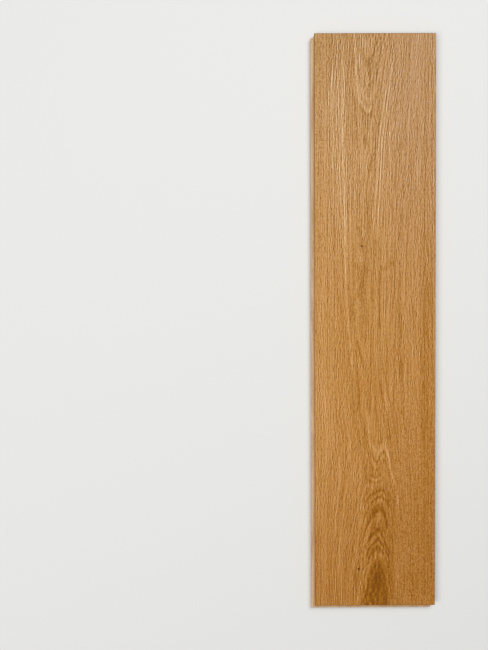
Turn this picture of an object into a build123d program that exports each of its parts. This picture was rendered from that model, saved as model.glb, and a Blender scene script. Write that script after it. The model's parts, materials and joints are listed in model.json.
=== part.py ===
"""Engineered oak flooring plank: an oak wear layer glued to a cross-laid plywood core.

The layers are pressed into one blank, and the blank is then milled on all four sides:
a tongue on one long side and one end, a groove on the other long side and the other end,
and a small bevel round the face. So every layer is its own slice of the milled plank.

Millimetres. +Z is up, out of the face, and +Y runs along the grain. The origin is on the
underside, at the middle of the face. The tongues point to -X and -Y.
"""

import os

from build123d import *

# Face and layers
face_width = 190.0
face_length = 900.0
wear_layer_thickness = 4.0
core_thickness = 11.0
ply_count = 9

# Tongue and groove, the same on the long sides and the ends: the groove takes out whole plies
plies_below_groove = 3
plies_in_groove = 4
tongue_reach = 5.5
tongue_nose_chamfer = 0.6
groove_side_clearance = 0.1
groove_end_clearance = 0.5
groove_lead_in = 0.4
lower_lip_setback = 0.4

# Bevel round the face, which shows as a fine line between laid planks
face_bevel = 0.8

# Heights that follow from those sizes, measured from the underside
ply_thickness = core_thickness / ply_count
plank_thickness = core_thickness + wear_layer_thickness
groove_bottom = plies_below_groove * ply_thickness
groove_top = groove_bottom + plies_in_groove * ply_thickness
groove_depth = tongue_reach + groove_end_clearance
tongue_bottom = groove_bottom + groove_side_clearance
tongue_top = groove_top - groove_side_clearance

# Pressed blank before milling: room for a tongue and the cutters' overrun on every side
cut_overrun = 10.0
blank_width = face_width + 2 * (tongue_reach + cut_overrun)
blank_length = face_length + 2 * (tongue_reach + cut_overrun)


def matched_section(face_span):
    """Milled outline across one direction of the plank: tongue on the left, groove on the right."""
    left = -face_span / 2
    right = face_span / 2
    nose = left - tongue_reach
    groove_floor = right - groove_depth
    lower_lip = right - lower_lip_setback
    with BuildLine() as outline:
        Polyline(
            # Face between its two bevels
            (left + face_bevel, plank_thickness),
            (right - face_bevel, plank_thickness),
            (right, plank_thickness - face_bevel),
            # Upper lip, groove and lower lip
            (right, groove_top + groove_lead_in),
            (right - groove_lead_in, groove_top),
            (groove_floor, groove_top),
            (groove_floor, groove_bottom),
            (lower_lip - groove_lead_in, groove_bottom),
            (lower_lip, groove_bottom - groove_lead_in),
            (lower_lip, 0),
            # Underside, then the tongue
            (left, 0),
            (left, tongue_bottom),
            (nose + tongue_nose_chamfer, tongue_bottom),
            (nose, tongue_bottom + tongue_nose_chamfer),
            (nose, tongue_top - tongue_nose_chamfer),
            (nose + tongue_nose_chamfer, tongue_top),
            (left, tongue_top),
            (left, plank_thickness - face_bevel),
            close=True,
        )
    return outline


# Milled plank: the section across the width, run the length of the blank, is cut to the section
# along the length. Where a tongue meets a groove at a corner, the groove runs through the tongue.
with BuildPart() as milled_plank:
    with BuildSketch(Plane.XZ):
        add(matched_section(face_width))
        make_face()
    extrude(amount=blank_length / 2, both=True)
    with BuildSketch(Plane.YZ):
        add(matched_section(face_length))
        make_face()
    extrude(amount=blank_width / 2, both=True, mode=Mode.INTERSECT)

# Layers from the underside up: name, height of its lower face, thickness
layers = [
    (f"core_ply_{number + 1}", number * ply_thickness, ply_thickness)
    for number in range(ply_count)
]
layers.append(("oak_wear_layer", core_thickness, wear_layer_thickness))

os.makedirs("parts", exist_ok=True)
for layer_name, layer_bottom, layer_thickness in layers:
    with BuildPart() as layer:
        with BuildSketch(Plane.XY.offset(layer_bottom)):
            Rectangle(blank_width, blank_length)
        extrude(amount=layer_thickness)
        add(milled_plank.part, mode=Mode.INTERSECT)
    layer.part.label = layer_name
    export_step(layer.part, f"parts/{layer_name}.step")
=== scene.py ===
"""Looks of the engineered oak floor plank: oiled oak, plywood core, pale floor, soft light and camera."""

import json
import math

import bpy
from mathutils import Euler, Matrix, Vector


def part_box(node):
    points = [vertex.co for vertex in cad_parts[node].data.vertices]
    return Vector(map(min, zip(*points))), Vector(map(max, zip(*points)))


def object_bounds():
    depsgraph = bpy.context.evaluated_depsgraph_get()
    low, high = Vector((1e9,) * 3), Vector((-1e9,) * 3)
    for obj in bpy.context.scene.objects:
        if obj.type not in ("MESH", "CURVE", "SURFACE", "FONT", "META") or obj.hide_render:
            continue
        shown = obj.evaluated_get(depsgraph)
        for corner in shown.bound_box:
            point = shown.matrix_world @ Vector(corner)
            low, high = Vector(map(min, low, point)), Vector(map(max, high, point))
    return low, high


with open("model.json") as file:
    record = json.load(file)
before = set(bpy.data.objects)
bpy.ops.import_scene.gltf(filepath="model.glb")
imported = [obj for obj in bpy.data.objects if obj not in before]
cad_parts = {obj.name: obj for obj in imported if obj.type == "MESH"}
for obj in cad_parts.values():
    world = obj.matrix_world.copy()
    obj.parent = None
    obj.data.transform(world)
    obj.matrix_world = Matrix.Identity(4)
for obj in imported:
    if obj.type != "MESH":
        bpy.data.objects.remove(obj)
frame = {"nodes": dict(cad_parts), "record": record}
cad_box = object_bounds()

# The wood's patterns are laid out in millimetres, and Object coordinates are in metres
per_metre = 1000.0

# Face of the plank in millimetres, from the frame
face_low, face_high = (corner * per_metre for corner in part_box("oak_wear_layer"))
face_left = face_low.x
face_top = face_high.z
face_length = face_high.y - face_low.y

# Heart line of the log under the face: millimetres from the far end, from the left edge and below
# the face. The rings close to loops where it dives.
heart_line = (
    (0, 84, 38),
    (60, 84, 45),
    (124, 83, 51.5),
    (225, 80, 55),
    (300, 77, 56),
    (570, 82, 58),
    (660, 98, 58),
    (705, 104, 57),
    (745, 102, 47),
    (778, 100, 42),
    (806, 99, 36),
    (870, 99, 25),
    (900, 99, 22),
)

# Away from the heart the fibres run straight, as if it lay here all along
straight_across = 91.0
straight_depth = 56.0
figure_reach = (22.0, 85.0)

# Leans of the fibres: millimetres from the left edge and from the far end, half width, half length,
# and how far the fibres are shifted
leans = (
    (72.0, 885.0, 28.0, 130.0, 15.0),
    (40.0, 860.0, 45.0, 150.0, 14.0),
    (128.0, -60.0, 45.0, 190.0, -26.0),
    (45.0, -40.0, 30.0, 130.0, -9.0),
    (114.0, 540.0, 26.0, 100.0, 4.0),
)

# Places where the short strokes are fainter: millimetres from the left edge and from the far end,
# half width, half length, and how much fainter
calm_places = (
    (98.0, 820.0, 24.0, 110.0, -0.35),
    (108.0, 80.0, 20.0, 70.0, -0.34),
    (103.0, 215.0, 9.0, 70.0, -0.26),
)

# Growth rings: round at 2 and pointed below, and their width in millimetres
ring_pointedness = 1.75
ring_width = 4.3

# Streaks along the fibres: half width, tone, lighter above 0 and darker below, and the way each runs
# in millimetres from the far end and from the left edge
streaks = (
    (1.5, 0.20, ((10, 43), (60, 44), (120, 44), (170, 44))),
    (1.3, 0.12, ((150, 44), (235, 46), (300, 48))),
    (1.4, 0.22, ((280, 47), (330, 48), (400, 50), (450, 53), (490, 56), (525, 60))),
    (1.2, 0.16, ((60, 28), (110, 28), (150, 29), (220, 31))),
    (1.0, 0.14, ((70, 37), (140, 38), (260, 40))),
    (1.3, 0.30, ((0, 62), (20, 63), (40, 65), (60, 65), (75, 66), (90, 67), (100, 69), (108, 73),
                 (114, 77))),
    (0.9, 0.12, ((30, 70), (60, 72), (85, 76))),
    (0.9, 0.16, ((42, 105), (75, 101))),
    (1.0, 0.38, ((45, 122), (70, 119), (90, 117), (110, 114), (130, 111), (150, 108), (170, 105),
                 (200, 104), (240, 102), (290, 99), (315, 98))),
    (0.9, 0.26, ((85, 112), (110, 109), (130, 106), (150, 103), (170, 101), (200, 100), (240, 97),
                 (270, 95), (285, 94), (305, 93))),
    (0.9, 0.27, ((65, 123), (90, 120), (110, 118), (130, 115), (150, 112), (170, 110), (190, 109),
                 (230, 107), (270, 105), (315, 103))),
    (0.8, -0.20, ((80, 116), (100, 113), (120, 110), (140, 106), (160, 104), (200, 102), (240, 100),
                  (300, 97))),
    (0.8, -0.20, ((65, 122), (100, 117), (120, 114), (140, 111), (160, 108), (200, 106), (260, 103),
                  (310, 101))),
    (1.2, -0.18, ((180, 91), (200, 88), (220, 85), (245, 82), (290, 80))),
    (1.0, -0.14, ((150, 95), (185, 95), (210, 96), (240, 93), (300, 90))),
    (1.2, -0.18, ((370, 88), (430, 89), (520, 88), (600, 88))),
    (1.2, -0.20, ((370, 103), (420, 102), (460, 102))),
    (1.3, -0.24, ((480, 67), (495, 70), (508, 73), (522, 77))),
    (1.3, -0.16, ((520, 66), (545, 68), (590, 68))),
    (1.3, -0.13, ((505, 136), (545, 136), (600, 137))),
    (1.0, -0.20, ((525, 109), (560, 115), (590, 122), (625, 128))),
    (0.9, 0.05, ((535, 105), (565, 111), (595, 119), (630, 124))),
    (1.0, -0.20, ((545, 102), (575, 108), (600, 114), (640, 120))),
    (1.0, 0.14, ((560, 76), (600, 82), (650, 88))),
    (1.4, 0.12, ((600, 57), (650, 55), (700, 52), (740, 46), (790, 40), (850, 37))),
    (1.2, 0.10, ((660, 39), (690, 38), (760, 33), (820, 30))),
    (1.2, 0.10, ((730, 80), (760, 74), (800, 68), (840, 61))),
    (1.2, 0.09, ((770, 84), (800, 77), (830, 67))),
    (1.2, -0.12, ((780, 79), (810, 72), (860, 62))),
    (1.3, 0.12, ((846, 77), (870, 71), (895, 66))),
    (1.0, -0.16, ((630, 90), (648, 91), (660, 92), (670, 95))),
    (1.4, 0.22, ((655, 114), (672, 118), (685, 120), (700, 124), (718, 129), (740, 132))),
    (1.0, -0.12, ((680, 120), (700, 124), (720, 128))),
    (1.8, -0.14, ((748, 109), (760, 111), (778, 114))),
    (1.5, 0.05, ((730, 130), (760, 128), (800, 128), (880, 131))),
)

# Arches across the fibres: half height, tone, and the way each runs in millimetres from the left edge
# and from the far end
arches = (
    (1.8, 0.14, ((70, 102), (73, 108), (77, 114), (82, 120), (86, 121), (90, 116))),
    (2.0, -0.12, ((66, 103), (70, 113), (76, 120), (82, 126), (87, 126), (92, 119))),
    (2.0, 0.10, ((74, 84), (80, 97), (85, 102), (91, 96), (96, 86))),
    (2.0, -0.10, ((72, 92), (79, 107), (85, 112), (92, 104), (97, 94))),
    (5.6, 0.13, ((91, 640), (95, 655), (99, 660), (103, 652), (107, 647), (110, 646), (114, 653),
                 (118, 667))),
    (1.7, -0.17, ((90, 654), (93, 665), (96, 671), (98, 672), (101, 666), (105, 658), (109, 655),
                  (112, 660), (117, 674))),
    (1.8, 0.12, ((90, 662), (93, 673), (96, 679), (98, 679), (102, 673), (106, 664), (109, 662),
                 (113, 668), (117, 680))),
    (1.6, -0.10, ((86, 668), (91, 679), (96, 685), (100, 683), (104, 677), (109, 670), (114, 676))),
    (1.6, -0.10, ((88, 690), (92, 695), (96, 696), (100, 694), (104, 689))),
    (1.5, 0.12, ((83, 685), (86, 694), (90, 698), (96, 700), (102, 698), (107, 694), (110, 689))),
    (1.4, -0.08, ((80, 694), (84, 699), (90, 703), (96, 704), (103, 702), (110, 696))),
    (1.4, 0.07, ((78, 699), (82, 703), (88, 707), (94, 708), (101, 707), (108, 703))),
    (2.6, 0.14, ((71, 758), (74, 735), (78, 716), (82, 709), (88, 711), (94, 714))),
    (1.7, -0.16, ((78, 745), (82, 733), (88, 725), (95, 721), (101, 718), (106, 716), (110, 719),
                  (113, 727), (116, 740))),
    (1.5, 0.08, ((80, 750), (88, 735), (95, 727), (104, 722), (110, 726), (116, 737), (119, 752))),
    (1.5, -0.11, ((82, 753), (92, 735), (100, 728), (106, 727), (111, 732), (117, 748))),
    (1.7, 0.10, ((78, 772), (87, 749), (95, 739), (103, 732), (108, 735), (113, 744), (117, 760))),
    (3.6, -0.17, ((77, 790), (79, 783), (85, 769), (91, 757), (97, 750), (102, 747), (107, 749),
                  (111, 758), (117, 786))),
    (2.0, 0.11, ((75, 804), (82, 782), (89, 768), (95, 761))),
    (2.7, -0.21, ((74, 828), (82, 802), (88, 791), (95, 783), (101, 778), (105, 784), (110, 797),
                  (117, 815))),
    (1.5, 0.08, ((78, 822), (88, 800), (95, 791), (100, 787), (105, 793), (110, 804), (118, 822))),
    (1.9, -0.17, ((78, 830), (87, 808), (93, 801), (99, 795), (105, 801), (110, 809), (118, 824))),
    (1.5, 0.07, ((76, 840), (87, 814), (94, 806), (99, 801), (104, 805), (110, 813))),
    (2.4, -0.13, ((73, 846), (82, 823), (90, 812), (98, 807), (104, 811), (110, 818))),
    (2.6, 0.05, ((74, 862), (82, 838), (91, 823), (99, 817), (106, 821), (112, 831))),
    (2.2, -0.14, ((72, 900), (78, 873), (84, 853), (91, 838))),
)

# Dark heart at the near end: its upper edge, from the left edge and from the far end
heart_edge = (
    (64, 915), (70, 900), (76, 880), (82, 857), (88, 837), (94, 824), (100, 820), (106, 830), (111, 854),
    (116, 886), (121, 915),
)

# Pin knots: millimetres from the left edge and from the far end, half width, half length
pin_knots = (
    (74.0, 331.5, 2.1, 1.5),
    (69.0, 841.5, 1.9, 1.9),
    (75.0, 842.0, 1.2, 0.9),
)

# Soft patches: millimetres from the left edge and from the far end, half width, half length, tone
patches = (
    (50.0, 0.0, 60.0, 55.0, -0.08),
    (85.0, 44.0, 2.0, 11.0, -0.24),
    (61.0, 47.0, 2.0, 8.0, -0.16),
    (155.0, 50.0, 36.0, 70.0, 0.03),
    (87.0, 62.0, 2.4, 9.0, -0.22),
    (80.0, 90.0, 9.0, 22.0, 0.05),
    (71.0, 104.0, 2.4, 9.0, 0.10),
    (58.0, 105.0, 9.0, 45.0, -0.06),
    (80.0, 130.0, 12.0, 7.0, -0.07),
    (36.0, 140.0, 12.0, 110.0, 0.05),
    (62.0, 162.0, 1.8, 9.0, -0.14),
    (95.0, 165.0, 150.0, 60.0, 0.015),
    (79.5, 167.0, 1.7, 10.0, -0.42),
    (66.0, 255.0, 40.0, 70.0, 0.04),
    (77.0, 312.0, 2.2, 9.0, 0.22),
    (72.0, 354.0, 2.4, 12.0, 0.20),
    (122.0, 358.0, 2.4, 4.0, -0.22),
    (65.0, 362.0, 3.6, 5.0, -0.10),
    (116.0, 362.0, 3.5, 3.6, -0.12),
    (109.0, 367.0, 5.0, 4.5, -0.15),
    (82.0, 369.0, 9.0, 3.6, -0.07),
    (75.0, 386.0, 3.0, 9.0, -0.14),
    (69.0, 407.0, 2.4, 8.0, -0.18),
    (59.0, 432.0, 2.0, 9.0, -0.12),
    (175.0, 460.0, 10.0, 40.0, -0.05),
    (80.0, 500.0, 26.0, 110.0, -0.05),
    (176.0, 520.0, 12.0, 160.0, -0.08),
    (78.0, 625.0, 3.0, 24.0, -0.10),
    (10.0, 640.0, 22.0, 120.0, 0.06),
    (102.0, 640.0, 3.4, 4.0, -0.14),
    (107.0, 651.0, 5.0, 6.0, 0.06),
    (95.5, 652.0, 2.6, 10.0, 0.06),
    (126.0, 690.0, 7.0, 16.0, 0.05),
    (103.0, 706.0, 9.0, 7.0, 0.08),
    (98.0, 735.0, 8.0, 4.0, 0.04),
    (115.0, 735.0, 3.5, 14.0, -0.10),
    (99.0, 763.0, 5.0, 10.0, 0.08),
    (76.0, 770.0, 5.0, 9.0, 0.06),
    (98.0, 780.0, 22.0, 58.0, -0.08),
    (100.0, 780.0, 2.4, 3.4, -0.10),
    (126.0, 790.0, 6.0, 60.0, -0.04),
    (87.0, 818.0, 6.0, 9.0, -0.06),
    (116.0, 855.0, 9.0, 45.0, -0.08),
    (69.0, 860.0, 6.0, 24.0, -0.15),
    (98.0, 862.0, 5.6, 21.0, -0.19),
    (88.0, 894.0, 9.0, 18.0, -0.06),
)

# Places with a grain of specks, and the place with long lines: millimetres from the left edge and
# from the far end, half width, half length
speckled_places = (
    (62.0, 110.0, 12.0, 70.0),
    (70.0, 415.0, 15.0, 90.0),
)
lined_place = (108.0, 440.0, 22.0, 150.0)

# Lines of the figure fade between these shares of their length, counted from the middle
fade_start = 0.44
fade_end = 0.56

# Strokes of the oak's fibres: width and length in millimetres, and the input that gives their strength.
# Each takes off this share of the strokes beside it.
stroke_sizes = (
    (1.75, 21.0, "Middling"),
    (1.65, 7.5, "Short"),
)
stroke_contrast = -0.45

# Oiled oak from dark to light: place on the scale of tones, and colour on a screen
oak_shades = (
    (0.05, (132, 76, 0)),
    (0.28, (166, 107, 20)),
    (0.52, (198, 141, 72)),
    (0.76, (218, 167, 108)),
    (1.00, (238, 194, 137)),
)

# Other colours of the oak on a screen
pore_brown = (116, 64, 8)
knot_brown = (88, 38, 0)
knot_rim = (210, 156, 88)
end_late_wood = (150, 102, 52)
end_early_wood = (108, 68, 30)

# Tints of the face by place, as factors of red, green and blue. The far tint is partly a painted sheen and
# the near tint partly painted shade, on top of the wood's own drift of colour.
far_tint_and_sheen = (0.90, 1.0, 1.28, 1.0)
right_tint = (1.0, 1.01, 1.16, 1.0)
near_tint_and_shade = (0.965, 0.94, 0.95, 1.0)
# The bevel tint is partly the bevel's darker oil and partly painted shade in the seams
bevel_oil_and_shade_tint = (0.55, 0.50, 0.42, 1.0)

# How deep the colour and the relief of the pores are
pore_depth = 0.36
relief_strength = 0.35
relief_height = 0.0002

# Veneers of the core by slot: name, whether the grain runs along the plank, and the light, the dark
# and the end-grain colour on a screen
veneers = {
    "ply_along": ("plywood grain along", True, (222, 190, 146), (193, 152, 106), (150, 108, 70)),
    "ply_across": ("plywood grain across", False, (210, 172, 126), (180, 136, 92), (142, 100, 64)),
}

# Floor and light, in metres and watts. Lamps: name, place, aim, width and height, power
floor_size = 30.0
floor_shade = (233, 233, 231)
sky_shade = (250, 250, 250)
sky_strength = 0.22
lamps = (
    ("window", (0.81, 1.40, 2.72), (0.0, 0.1, 0.0), (2.2, 1.6), 49.0),
    ("side window", (-1.7, -0.6, 3.2), (0.0, -0.1, 0.0), (2.4, 2.4), 70.0),
)

# Camera: focal length in millimetres, place in metres, turn in degrees
focal_length = 44.31
camera_place = (-0.2107, 0.0271, 1.2715)
camera_turn = (-1.434, -0.215, -0.214)


def shade(red, green, blue):
    """A colour as it looks on a screen, 0 to 255, made ready for a shader socket."""
    linear = []
    for part in (red, green, blue):
        part = part / 255
        linear.append(part / 12.92 if part <= 0.04045 else ((part + 0.055) / 1.055) ** 2.4)
    return (*linear, 1.0)


def put(tree, kind, sockets=None, **settings):
    """Adds a node, sets it up and fills its sockets with values or with other nodes' outputs."""
    node = tree.nodes.new(kind)
    for name, value in settings.items():
        setattr(node, name, value)
    for name, value in (sockets or {}).items():
        if isinstance(value, bpy.types.NodeSocket):
            tree.links.new(value, node.inputs[name])
        else:
            node.inputs[name].default_value = value
    return node


def reckon(tree, operation, *values):
    """One step of arithmetic on values or sockets."""
    return put(tree, "ShaderNodeMath", dict(enumerate(values)), operation=operation).outputs[0]


def sum_of(tree, *values):
    total = values[0]
    for value in values[1:]:
        total = reckon(tree, "ADD", total, value)
    return total


def rise(tree, value, low, high, to_low=0.0, to_high=1.0):
    """A smooth step from to_low to to_high while the value goes from low to high."""
    sockets = {"Value": value, "From Min": low, "From Max": high, "To Min": to_low, "To Max": to_high}
    return put(tree, "ShaderNodeMapRange", sockets, interpolation_type="SMOOTHSTEP").outputs["Result"]


def span(tree, value, low, high, to_low=0.0, to_high=1.0):
    """A straight change of range, held at its ends."""
    sockets = {"Value": value, "From Min": low, "From Max": high, "To Min": to_low, "To Max": to_high}
    return put(tree, "ShaderNodeMapRange", sockets).outputs["Result"]


def curve(tree, value, points):
    """A smooth curve through given points between 0 and 1."""
    node = put(tree, "ShaderNodeFloatCurve", {"Value": value})
    line = node.mapping.curves[0]
    line.points[0].location = points[0]
    line.points[1].location = points[-1]
    for across, up in points[1:-1]:
        line.points.new(across, up)
    node.mapping.update()
    return node.outputs[0]


def off_way(tree, passed, measured, way):
    """How far the measured value lies past a given way."""
    first, last = way[0][0], way[-1][0]
    low = min(value for at, value in way)
    high = max(value for at, value in way)
    share = span(tree, passed, first, last)
    points = [((at - first) / (last - first), (value - low) / (high - low)) for at, value in way]
    line = curve(tree, share, points)
    return reckon(tree, "SUBTRACT", measured, reckon(tree, "MULTIPLY_ADD", line, high - low, low))


def near_way(tree, passed, measured, half_width, tone, way):
    """Tone of a soft line along a given way, fading beyond the way's ends."""
    first, last = way[0][0], way[-1][0]
    beside = reckon(tree, "ABSOLUTE", off_way(tree, passed, measured, way))
    beyond = reckon(tree, "ABSOLUTE", reckon(tree, "SUBTRACT", passed, (first + last) / 2))
    tone = rise(tree, beyond, fade_start * (last - first), fade_end * (last - first), tone, 0.0)
    return rise(tree, beside, 0.0, 2.0 * half_width, tone, 0.0)


def pull(tree, value, rest, share):
    """Brings a value back to its rest where the share falls to 0."""
    return reckon(tree, "MULTIPLY_ADD", reckon(tree, "SUBTRACT", value, rest), share, rest)


def swing(tree, value, amount):
    """Turns noise, which lies round 0.5, to a swing round 0."""
    return reckon(tree, "MULTIPLY_ADD", value, amount, -0.5 * amount)


def place_of(tree, across, along, up):
    return put(tree, "ShaderNodeCombineXYZ", {0: across, 1: along, 2: up}).outputs[0]


def noise(tree, place, lengths, detail=2.0):
    """Noise between 0 and 1 whose lumps have about these lengths in millimetres."""
    scale = tuple(1 / length for length in lengths)
    stretched = put(tree, "ShaderNodeMapping", {"Vector": place, "Scale": scale}).outputs[0]
    return put(tree, "ShaderNodeTexNoise", {"Vector": stretched, "Scale": 1.0, "Detail": detail}).outputs[0]


def blend(tree, share, first, second, kind="MIX"):
    """Mixes two colours."""
    node = put(tree, "ShaderNodeMix", {0: share, 6: first, 7: second}, data_type="RGBA", blend_type=kind)
    return node.outputs[2]


def start_group(name, inputs, outputs):
    """A new shader node group with named number sockets, or vectors where the name starts with Place."""
    tree = bpy.data.node_groups.new(name, "ShaderNodeTree")
    for direction, names in (("INPUT", inputs), ("OUTPUT", outputs)):
        for socket in names:
            kind = "NodeSocketVector" if socket.startswith("Place") else "NodeSocketFloat"
            tree.interface.new_socket(socket, in_out=direction, socket_type=kind)
    return tree, tree.nodes.new("NodeGroupInput").outputs, tree.nodes.new("NodeGroupOutput").inputs


def use_group(tree, group, sockets):
    return put(tree, "ShaderNodeGroup", sockets, node_tree=group).outputs


def give(tree, outputs, **values):
    for name, value in values.items():
        tree.links.new(value, outputs[name.replace("_", " ")])


def make_growth_rings():
    """Years of growth by distance from the heart: the porous early wood of each, and how light it is."""
    tree, given, outputs = start_group(
        "growth_rings",
        ("Distance", "Across", "Along", "Ring Width", "Ragged"),
        ("Early Wood", "Year Tone"),
    )
    place = place_of(tree, given["Distance"], given["Along"], given["Across"])
    ragged = noise(tree, place, (3.0, 34.0, 5.0), detail=2.0)
    ragged = reckon(tree, "MULTIPLY", reckon(tree, "SUBTRACT", ragged, 0.5), given["Ragged"])
    uneven = noise(tree, place_of(tree, given["Distance"], 0.0, 0.0), (11.0, 1.0, 1.0), detail=1.0)
    years = reckon(tree, "DIVIDE", given["Distance"], given["Ring Width"])
    years = sum_of(tree, years, reckon(tree, "MULTIPLY", uneven, 2.2), ragged)
    season = reckon(tree, "FRACT", years)
    opening = rise(tree, season, 0.0, 0.10)
    closing = rise(tree, season, 0.30, 0.62, 1.0, 0.0)
    early = reckon(tree, "MULTIPLY", opening, closing)
    tone = noise(tree, place_of(tree, years, 0.0, 0.0), (1.3, 1.0, 1.0), detail=1.0)
    give(tree, outputs, Early_Wood=early, Year_Tone=tone)
    return tree


def make_vessels():
    """Open pores: short dark dashes along the fibres, crowded where the mask says."""
    tree, given, outputs = start_group(
        "vessels",
        ("Distance", "Across", "Along", "Width", "Length", "Crowding"),
        ("Pores",),
    )
    around = reckon(tree, "DIVIDE", given["Distance"], given["Width"])
    sideways = reckon(tree, "DIVIDE", given["Across"], given["Width"])
    lengthways = reckon(tree, "DIVIDE", given["Along"], given["Length"])
    lumps = noise(tree, place_of(tree, around, lengthways, sideways), (1.0, 1.0, 1.0), detail=1.5)
    level = reckon(tree, "SUBTRACT", 0.68, reckon(tree, "MULTIPLY", given["Crowding"], 0.16))
    pores = rise(tree, reckon(tree, "SUBTRACT", lumps, level), 0.0, 0.07)
    give(tree, outputs, Pores=pores)
    return tree


def make_slow_drift():
    """Slow change of colour over a board, lengthways more than across."""
    tree, given, outputs = start_group("slow_drift", ("Place", "Width", "Length"), ("Drift",))
    parts = put(tree, "ShaderNodeSeparateXYZ", {0: given["Place"]}).outputs
    across = reckon(tree, "DIVIDE", parts[0], given["Width"])
    along = reckon(tree, "DIVIDE", parts[1], given["Length"])
    up = reckon(tree, "DIVIDE", parts[2], given["Width"])
    drift = noise(tree, place_of(tree, across, along, up), (1.0, 1.0, 1.0), detail=2.0)
    give(tree, outputs, Drift=drift)
    return tree


def make_spot():
    """A soft oval spot on the face, and how far each point lies to its side."""
    names = ("Place", "Across", "Along", "Width", "Length")
    tree, given, outputs = start_group("spot", names, ("Spot", "Aside"))
    parts = put(tree, "ShaderNodeSeparateXYZ", {0: given["Place"]}).outputs
    aside = reckon(tree, "SUBTRACT", parts[0], given["Across"])
    ahead = reckon(tree, "SUBTRACT", parts[1], given["Along"])
    wide = reckon(tree, "POWER", reckon(tree, "DIVIDE", aside, given["Width"]), 2.0)
    tall = reckon(tree, "POWER", reckon(tree, "DIVIDE", ahead, given["Length"]), 2.0)
    spot = reckon(tree, "EXPONENT", reckon(tree, "MULTIPLY", reckon(tree, "ADD", wide, tall), -1.0))
    give(tree, outputs, Spot=spot, Aside=aside)
    return tree


def make_fine_fibres():
    """Fine light and dark streaks, as a swing round 0: each fibre against its two neighbours."""
    names = ("Flow", "Along", "Side", "Width", "Length")
    tree, given, outputs = start_group("fine_fibres", names, ("Streak",))
    flow = reckon(tree, "DIVIDE", given["Flow"], given["Width"])
    along = reckon(tree, "DIVIDE", given["Along"], given["Length"])
    streak = 0.0
    for step, share in ((0.0, 1.0), (-1.0, -0.5), (1.0, -0.5)):
        moved = reckon(tree, "ADD", flow, step)
        place = place_of(tree, moved, along, given["Side"])
        value = noise(tree, place, (1.0, 1.0, 4.0), detail=0.0)
        streak = reckon(tree, "MULTIPLY_ADD", value, share, streak)
    give(tree, outputs, Streak=streak)
    return tree


def make_strokes():
    """Short strokes end to end in lanes along the fibres, each with its own tone, as a swing round 0."""
    tree, given, outputs = start_group("strokes", ("Flow", "Along", "Width", "Length"), ("Stroke",))
    lanes = reckon(tree, "DIVIDE", given["Flow"], given["Width"])
    lane = reckon(tree, "FLOOR", lanes)
    start = put(tree, "ShaderNodeTexWhiteNoise", {"W": lane}, noise_dimensions="1D").outputs[0]
    along = reckon(tree, "DIVIDE", given["Along"], given["Length"])
    pieces = reckon(tree, "MULTIPLY_ADD", start, 37.0, along)
    piece = reckon(tree, "FLOOR", pieces)
    tone = put(
        tree, "ShaderNodeTexWhiteNoise", {"Vector": place_of(tree, lane, piece, 0.0)}, noise_dimensions="2D"
    ).outputs[0]
    tone = reckon(tree, "MULTIPLY_ADD", reckon(tree, "SQRT", tone), 1.2, -0.8)
    reach = 0.0
    for measure, power in ((lanes, 2.0), (pieces, 4.0)):
        aside = reckon(tree, "MULTIPLY_ADD", reckon(tree, "FRACT", measure), 2.0, -1.0)
        aside = reckon(tree, "ABSOLUTE", aside)
        reach = reckon(tree, "ADD", reach, reckon(tree, "POWER", aside, power))
    stroke = reckon(tree, "MULTIPLY", tone, rise(tree, reach, 0.05, 1.05, 1.0, 0.0))
    give(tree, outputs, Stroke=stroke)
    return tree


def make_specks():
    """Small round specks scattered at random, each with a tone of its own, as a swing round 0."""
    tree, given, outputs = start_group("specks", ("Flow", "Along", "Width", "Length"), ("Speck",))
    across = reckon(tree, "DIVIDE", given["Flow"], given["Width"])
    along = reckon(tree, "DIVIDE", given["Along"], given["Length"])
    cells = put(tree, "ShaderNodeTexVoronoi", {
        "Vector": place_of(tree, across, along, 0.0), "Scale": 1.0,
    }, voronoi_dimensions="2D").outputs
    tone = put(tree, "ShaderNodeSeparateColor", {0: cells["Color"]}).outputs[0]
    tone = reckon(tree, "MULTIPLY_ADD", reckon(tree, "SQRT", tone), 1.2, -0.8)
    speck = reckon(tree, "MULTIPLY", tone, rise(tree, cells["Distance"], 0.10, 0.60, 1.0, 0.0))
    give(tree, outputs, Speck=speck)
    return tree


def make_crisp_strokes():
    """Strokes that stand out from the strokes in the lanes at both sides."""
    names = ("Flow", "Along", "Width", "Length", "Against")
    tree, given, outputs = start_group("crisp_strokes", names, ("Stroke",))
    total = 0.0
    for step in (-1.0, 1.0, 0.0):
        flow = reckon(tree, "MULTIPLY_ADD", given["Width"], step, given["Flow"])
        stroke = use_group(tree, strokes, {
            "Flow": flow, "Along": given["Along"], "Width": given["Width"], "Length": given["Length"],
        })["Stroke"]
        share = given["Against"] if step else 1.0
        total = reckon(tree, "MULTIPLY_ADD", stroke, share, total)
    give(tree, outputs, Stroke=total)
    return tree


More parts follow.
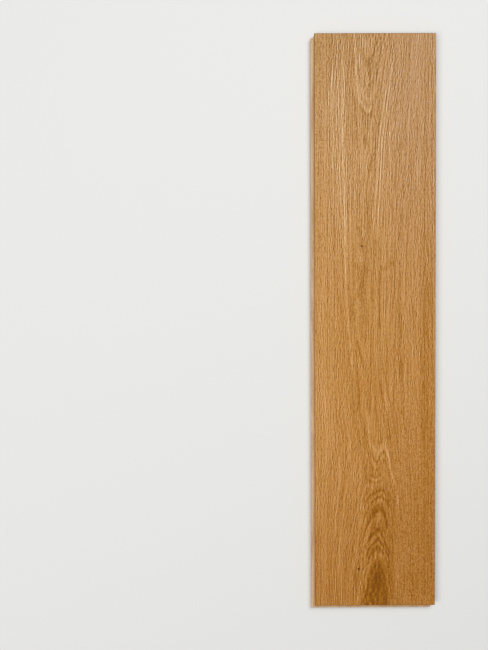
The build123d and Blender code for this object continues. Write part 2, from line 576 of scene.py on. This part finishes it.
def make_oak_fibres():
    """All fibres of the oak together, from broad bands to specks, as a swing of tone round 0."""
    tree, given, outputs = start_group(
        "oak_fibres",
        ("Fibre", "Along", "Height", "Strength", "Broad", "Long", "Middling", "Short", "Specks"),
        ("Swing",),
    )
    place = place_of(tree, given["Fibre"], given["Along"], given["Height"])
    bands = use_group(tree, slow_drift, {"Place": place, "Width": 8.0, "Length": 130.0})
    broad = noise(tree, place, (2.4, 60.0, 4.0), detail=1.0)
    total = sum_of(tree, swing(tree, bands["Drift"], 0.22), swing(tree, broad, 0.26))
    total = reckon(tree, "MULTIPLY", total, given["Broad"])
    streak = use_group(tree, fine_fibres, {
        "Flow": given["Fibre"], "Along": given["Along"], "Side": given["Height"],
        "Width": 1.4, "Length": 45.0,
    })["Streak"]
    total = reckon(tree, "MULTIPLY_ADD", streak, given["Long"], total)
    uneven = noise(tree, place, (3.1, 90.0, 3.1), detail=1.0)
    flow = sum_of(
        tree,
        given["Fibre"],
        swing(tree, uneven, 1.2),
        reckon(tree, "MULTIPLY", given["Height"], 3.0),
    )
    for width, length, strength in stroke_sizes:
        stroke = use_group(tree, crisp_strokes, {
            "Flow": flow, "Along": given["Along"], "Width": width, "Length": length,
            "Against": stroke_contrast,
        })["Stroke"]
        stroke = reckon(tree, "MULTIPLY", stroke, given["Strength"])
        total = reckon(tree, "MULTIPLY_ADD", stroke, given[strength], total)
    speck = use_group(tree, specks, {
        "Flow": flow, "Along": given["Along"], "Width": 1.5, "Length": 2.8,
    })["Speck"]
    total = reckon(tree, "MULTIPLY_ADD", speck, given["Specks"], total)
    give(tree, outputs, Swing=total)
    return tree


growth_rings = make_growth_rings()
fine_fibres = make_fine_fibres()
vessels = make_vessels()
slow_drift = make_slow_drift()
spot = make_spot()
strokes = make_strokes()
specks = make_specks()
crisp_strokes = make_crisp_strokes()
oak_fibres = make_oak_fibres()


def spot_at(tree, seat, across, along, half_width, half_length):
    """A soft oval spot at a place on the face."""
    return use_group(tree, spot, {
        "Place": seat, "Across": across, "Along": along, "Width": half_width, "Length": half_length,
    })


def start_material(name):
    """A new material with its output, and the object's place in millimetres."""
    material = bpy.data.materials.new(name)
    material.use_nodes = True
    tree = material.node_tree
    tree.nodes.clear()
    coordinates = put(tree, "ShaderNodeTexCoord")
    scale = (per_metre, per_metre, per_metre)
    place = put(tree, "ShaderNodeMapping", {"Vector": coordinates.outputs["Object"], "Scale": scale})
    return material, tree, coordinates, place.outputs[0]


def make_oak_face():
    """Flat-sawn oak, oiled to a satin warm brown."""
    material, tree, coordinates, place = start_material("oiled oak")
    parts = put(tree, "ShaderNodeSeparateXYZ", {0: place}).outputs
    from_left = reckon(tree, "SUBTRACT", parts[0], face_left)
    from_end = reckon(tree, "SUBTRACT", face_high.y, parts[1])
    height = reckon(tree, "SUBTRACT", parts[2], face_top)
    seat = place_of(tree, from_left, from_end, height)

    # Knots and patches on the face
    knots = []
    for across, along, half_width, half_length in pin_knots:
        core = spot_at(tree, seat, across, along, half_width, half_length)
        halo = spot_at(tree, seat, across, along, 2.0 * half_width, 6.0 * half_width)
        knots.append((core["Spot"], halo["Spot"], halo["Aside"]))
    patch_tone = 0.0
    for across, along, half_width, half_length, strength in patches:
        patch = spot_at(tree, seat, across, along, half_width, half_length)
        patch_tone = reckon(tree, "MULTIPLY_ADD", patch["Spot"], strength, patch_tone)

    # Fibres wander on their way along the log, part round the knots and lean beside the figure
    wander = noise(tree, seat, (70.0, 300.0, 70.0))
    ripple = noise(tree, seat, (14.0, 50.0, 14.0))
    moved = sum_of(tree, from_left, swing(tree, wander, 3.0), swing(tree, ripple, 0.6))
    for core, halo, aside in knots:
        push = reckon(tree, "MULTIPLY", reckon(tree, "MULTIPLY", halo, aside), -0.35)
        moved = reckon(tree, "ADD", moved, push)
    fibre = moved
    for across, along, half_width, half_length, shift in leans:
        lean = spot_at(tree, seat, across, along, half_width, half_length)
        fibre = reckon(tree, "MULTIPLY_ADD", lean["Spot"], shift, fibre)

    # Distance from the heart
    share = span(tree, from_end, 0.0, face_length)
    heart_across = curve(tree, share, [(y / face_length, x / 100) for y, x, depth in heart_line])
    heart_depth = curve(tree, share, [(y / face_length, depth / 100) for y, x, depth in heart_line])
    heart_across = reckon(tree, "MULTIPLY", heart_across, 100.0)
    heart_depth = reckon(tree, "MULTIPLY", heart_depth, 100.0)
    beside = reckon(tree, "ABSOLUTE", reckon(tree, "SUBTRACT", from_left, straight_across))
    figure = rise(tree, beside, figure_reach[0], figure_reach[1], 1.0, 0.0)
    heart_aside = reckon(tree, "SUBTRACT", moved, pull(tree, heart_across, straight_across, figure))
    above = reckon(tree, "ADD", height, pull(tree, heart_depth, straight_depth, figure))
    aside_part = reckon(tree, "POWER", reckon(tree, "ABSOLUTE", heart_aside), ring_pointedness)
    depth_part = reckon(tree, "POWER", reckon(tree, "ABSOLUTE", above), ring_pointedness)
    distance = reckon(tree, "POWER", reckon(tree, "ADD", aside_part, depth_part), 1 / ring_pointedness)

    # Where the fibres show long, short or as specks
    far = rise(tree, from_end, 240.0, 480.0, 1.0, 0.0)
    left_band = reckon(
        tree, "MULTIPLY", rise(tree, from_left, 16.0, 28.0), rise(tree, from_left, 48.0, 62.0, 1.0, 0.0)
    )
    left_band = reckon(tree, "MULTIPLY", left_band, far)
    sandy = reckon(
        tree, "MULTIPLY", rise(tree, from_left, 95.0, 140.0), rise(tree, from_end, 480.0, 680.0)
    )
    speckled = reckon(tree, "MULTIPLY", rise(tree, from_left, 14.0, 26.0, 1.0, 0.0), far)
    for speckled_place in speckled_places:
        speckled = reckon(tree, "MAXIMUM", speckled, spot_at(tree, seat, *speckled_place)["Spot"])
    sandy = reckon(tree, "MAXIMUM", sandy, speckled)
    lined = spot_at(tree, seat, *lined_place)["Spot"]
    strength = rise(tree, from_end, 100.0, 420.0, 1.0, 0.79)
    for across, along, half_width, half_length, change in calm_places:
        calm = spot_at(tree, seat, across, along, half_width, half_length)
        strength = reckon(tree, "MULTIPLY_ADD", calm["Spot"], change, strength)
    strengths = {
        "Along": from_end,
        "Height": height,
        "Strength": strength,
        "Broad": reckon(tree, "MULTIPLY_ADD", sandy, -0.40, 1.0),
        "Long": sum_of(
            tree,
            0.11,
            reckon(tree, "MULTIPLY", sandy, -0.06),
            reckon(tree, "MULTIPLY", far, 0.20),
            reckon(tree, "MULTIPLY", left_band, 0.55),
            reckon(tree, "MULTIPLY", lined, 0.30),
        ),
        "Middling": reckon(tree, "MULTIPLY_ADD", sandy, -0.16, 0.335),
        "Short": sum_of(
            tree, 0.49, reckon(tree, "MULTIPLY", sandy, -0.26), reckon(tree, "MULTIPLY", lined, -0.18)
        ),
        "Specks": reckon(tree, "MULTIPLY_ADD", sandy, 0.23, 0.30),
    }
    fibres = use_group(tree, oak_fibres, {**strengths, "Fibre": fibre})["Swing"]

    rings = use_group(tree, growth_rings, {
        "Distance": distance, "Across": heart_aside, "Along": from_end,
        "Ring Width": ring_width, "Ragged": 0.7,
    })
    coarse = use_group(tree, vessels, {
        "Distance": fibre, "Across": height, "Along": from_end,
        "Width": 1.1, "Length": 6.0, "Crowding": rings["Early Wood"],
    })
    fine = use_group(tree, vessels, {
        "Distance": fibre, "Across": height, "Along": from_end,
        "Width": 0.45, "Length": 6.0, "Crowding": 0.6,
    })
    drift = use_group(tree, slow_drift, {"Place": seat, "Width": 45.0, "Length": 300.0})

    # Streaks and arches, each fibre of them cut off a little higher or lower than the next
    broken = noise(tree, seat, (5.0, 30.0, 5.0), detail=1.0)
    broken = rise(tree, broken, 0.35, 0.62, 0.55, 1.10)
    figure_tone = 0.0
    for half_width, tone, way in streaks:
        figure_tone = reckon(tree, "ADD", figure_tone, near_way(tree, from_end, moved, half_width, tone, way))
    figure_tone = reckon(tree, "MULTIPLY", figure_tone, broken)
    jagged = noise(tree, seat, (1.6, 26.0, 1.6), detail=1.0)
    jagged = reckon(tree, "MULTIPLY", swing(tree, jagged, 12.0), rise(tree, from_end, 690.0, 770.0, 0.3, 0.9))
    jagged = sum_of(tree, from_end, jagged, reckon(tree, "MULTIPLY", figure_tone, 4.0))
    for half_height, tone, way in arches:
        figure_tone = reckon(tree, "ADD", figure_tone, near_way(tree, moved, jagged, half_height, tone, way))
    heart = rise(tree, off_way(tree, moved, jagged, heart_edge), -10.0, 24.0, 0.0, -0.16)
    figure_tone = reckon(tree, "ADD", figure_tone, heart)

    tone = sum_of(
        tree,
        0.5,
        figure_tone,
        patch_tone,
        swing(tree, rings["Year Tone"], 0.10),
        reckon(tree, "MULTIPLY", rings["Early Wood"], -0.04),
        swing(tree, drift["Drift"], 0.16),
        fibres,
        # Darker towards the near end, partly painted shade
        rise(tree, from_end, 450.0, 900.0, 0.02, -0.08),
        span(tree, from_left, 0.0, 190.0, 0.03, -0.04),
    )
    ramp = put(tree, "ShaderNodeValToRGB", {0: tone})
    stops = ramp.color_ramp.elements
    for stop, (position, tint) in zip(stops, (oak_shades[0], oak_shades[-1])):
        stop.position = position
        stop.color = shade(*tint)
    for position, tint in oak_shades[1:-1]:
        stops.new(position).color = shade(*tint)
    colour = ramp.outputs[0]
    pores = reckon(tree, "MAXIMUM", coarse["Pores"], reckon(tree, "MULTIPLY", fine["Pores"], 0.6))
    colour = blend(tree, reckon(tree, "MULTIPLY", pores, pore_depth), colour, shade(*pore_brown))

    # The face is cooler at the far end and the right, and browner at the near end: at the far end partly a
    # painted sheen, at the near end partly painted shade, on top of the wood's own drift of colour
    paled = rise(tree, from_end, 0.0, 560.0, 1.0, 0.0)
    colour = blend(tree, paled, colour, far_tint_and_sheen, "MULTIPLY")
    paled_right = reckon(
        tree, "MULTIPLY", rise(tree, from_end, 300.0, 600.0, 1.0, 0.6), rise(tree, from_left, 80.0, 150.0)
    )
    colour = blend(tree, paled_right, colour, right_tint, "MULTIPLY")
    colour = blend(tree, rise(tree, from_end, 450.0, 900.0), colour, near_tint_and_shade, "MULTIPLY")

    # End grain drinks more oil and looks darker. The bevel is darkened partly for its darker oil and partly
    # as painted shade in the seams
    facing = put(tree, "ShaderNodeSeparateXYZ", {0: coordinates.outputs["Normal"]}).outputs
    end_grain = rise(tree, reckon(tree, "ABSOLUTE", facing[1]), 0.5, 0.9)
    bevel = reckon(
        tree, "MULTIPLY", rise(tree, facing[2], 0.3, 0.6), rise(tree, facing[2], 0.8, 0.95, 1.0, 0.0)
    )
    end_colour = blend(tree, rings["Early Wood"], shade(*end_late_wood), shade(*end_early_wood))
    colour = blend(tree, reckon(tree, "MULTIPLY", end_grain, 0.80), colour, end_colour)
    colour = blend(tree, bevel, colour, bevel_oil_and_shade_tint, "MULTIPLY")

    for core, halo, aside in knots:
        colour = blend(tree, reckon(tree, "MULTIPLY", halo, 0.10), colour, shade(*knot_rim))
        colour = blend(tree, rise(tree, core, 0.15, 0.60, 0.0, 0.85), colour, shade(*knot_brown))

    relief = reckon(tree, "MULTIPLY", pores, -1.0)
    bump = put(tree, "ShaderNodeBump", {
        "Height": relief, "Strength": relief_strength, "Distance": relief_height,
    })
    roughness = sum_of(
        tree, 0.34, reckon(tree, "MULTIPLY", pores, 0.20), reckon(tree, "MULTIPLY", end_grain, 0.15)
    )
    shader = put(tree, "ShaderNodeBsdfPrincipled", {
        "Base Color": colour, "Roughness": roughness, "Specular IOR Level": 0.2, "Normal": bump.outputs[0],
    })
    put(tree, "ShaderNodeOutputMaterial", {"Surface": shader.outputs[0]})
    return material


def make_ply(name, fibre_along, pale, deep, end_shade):
    """Rotary-cut veneer of the core, with its fibres along the plank or across it."""
    material, tree, coordinates, place = start_material(name)
    turn = (0.0, 0.0, 0.0 if fibre_along else math.pi / 2)
    laid = put(tree, "ShaderNodeMapping", {"Vector": place, "Rotation": turn}).outputs[0]
    parts = put(tree, "ShaderNodeSeparateXYZ", {0: laid}).outputs

    # The peeling knife runs almost along the rings, so they show as wide wandering bands
    peel = noise(tree, laid, (70.0, 420.0, 3.0), detail=2.0)
    distance = reckon(tree, "MULTIPLY_ADD", peel, 16.0, reckon(tree, "MULTIPLY", parts[2], 0.6))
    rings = use_group(tree, growth_rings, {
        "Distance": distance, "Across": parts[0], "Along": parts[1], "Ring Width": 1.7, "Ragged": 0.5,
    })
    dashes = use_group(tree, vessels, {
        "Distance": parts[2], "Across": parts[0], "Along": parts[1],
        "Width": 0.5, "Length": 8.0, "Crowding": 0.5,
    })
    drift = use_group(tree, slow_drift, {"Place": laid, "Width": 45.0, "Length": 260.0})
    fibre = noise(tree, laid, (0.8, 26.0, 0.8), detail=3.0)
    tone = sum_of(
        tree,
        reckon(tree, "MULTIPLY", rings["Early Wood"], -0.16),
        reckon(tree, "MULTIPLY", rings["Year Tone"], 0.25),
        reckon(tree, "MULTIPLY", drift["Drift"], 0.45),
        reckon(tree, "MULTIPLY", fibre, 0.35),
    )
    colour = blend(tree, rise(tree, tone, 0.2, 0.8), deep, pale)
    colour = blend(tree, reckon(tree, "MULTIPLY", dashes["Pores"], 0.30), colour, end_shade)
    facing = put(tree, "ShaderNodeSeparateXYZ", {0: coordinates.outputs["Normal"]}).outputs
    towards_end = facing[1] if fibre_along else facing[0]
    end_grain = rise(tree, reckon(tree, "ABSOLUTE", towards_end), 0.5, 0.9)
    colour = blend(tree, reckon(tree, "MULTIPLY", end_grain, 0.65), colour, end_shade)
    height = sum_of(tree, reckon(tree, "MULTIPLY", dashes["Pores"], -0.6), fibre)
    bump = put(tree, "ShaderNodeBump", {"Height": height, "Strength": 0.4, "Distance": relief_height})
    roughness = reckon(tree, "MULTIPLY_ADD", end_grain, 0.12, 0.72)
    shader = put(tree, "ShaderNodeBsdfPrincipled", {
        "Base Color": colour, "Roughness": roughness, "Normal": bump.outputs[0],
    })
    put(tree, "ShaderNodeOutputMaterial", {"Surface": shader.outputs[0]})
    return material


finishes = {"oak_face": make_oak_face()}
for slot, (name, fibre_along, *colours) in veneers.items():
    finishes[slot] = make_ply(name, fibre_along, *(shade(*colour) for colour in colours))
for row in frame["record"]["subparts"]:
    layer = frame["nodes"][row["node"]]
    layer.data.materials.clear()
    layer.data.materials.append(finishes[row["material_slot"]])


def make_floor():
    """A wide pale floor under the plank."""
    bpy.ops.object.select_all(action="DESELECT")
    bpy.ops.mesh.primitive_plane_add(size=floor_size, location=(0.0, 0.0, cad_box[0].z))
    floor = bpy.context.object
    floor.name = "floor"
    material = bpy.data.materials.new("pale floor")
    material.use_nodes = True
    tree = material.node_tree
    shader = tree.nodes["Principled BSDF"]
    shader.inputs["Base Color"].default_value = shade(*floor_shade)
    shader.inputs["Roughness"].default_value = 0.8
    shader.inputs["Specular IOR Level"].default_value = 0.2
    floor.data.materials.append(material)


def make_light():
    """Soft daylight all round, a window lamp beyond the far right corner and a wider one at the left."""
    world = bpy.data.worlds.new("soft daylight")
    bpy.context.scene.world = world
    world.use_nodes = True
    sky = world.node_tree.nodes["Background"]
    sky.inputs["Color"].default_value = shade(*sky_shade)
    sky.inputs["Strength"].default_value = sky_strength
    for name, place, aim, size, energy in lamps:
        lamp = bpy.data.lights.new(name, "AREA")
        lamp.shape = "RECTANGLE"
        lamp.size, lamp.size_y = size
        lamp.energy = energy
        window = bpy.data.objects.new(name, lamp)
        bpy.context.scene.collection.objects.link(window)
        window.location = place
        window.rotation_euler = (Vector(aim) - Vector(place)).to_track_quat("-Z", "Y").to_euler()


def make_camera():
    """Looks straight down, from over the left of the plank."""
    lens = bpy.data.cameras.new("camera")
    lens.lens = focal_length
    camera = bpy.data.objects.new("camera", lens)
    bpy.context.scene.collection.objects.link(camera)
    camera.location = camera_place
    camera.rotation_euler = Euler([math.radians(turn) for turn in camera_turn])
    bpy.context.scene.camera = camera


make_floor()
make_light()
make_camera()
bpy.context.scene.view_settings.view_transform = "Standard"
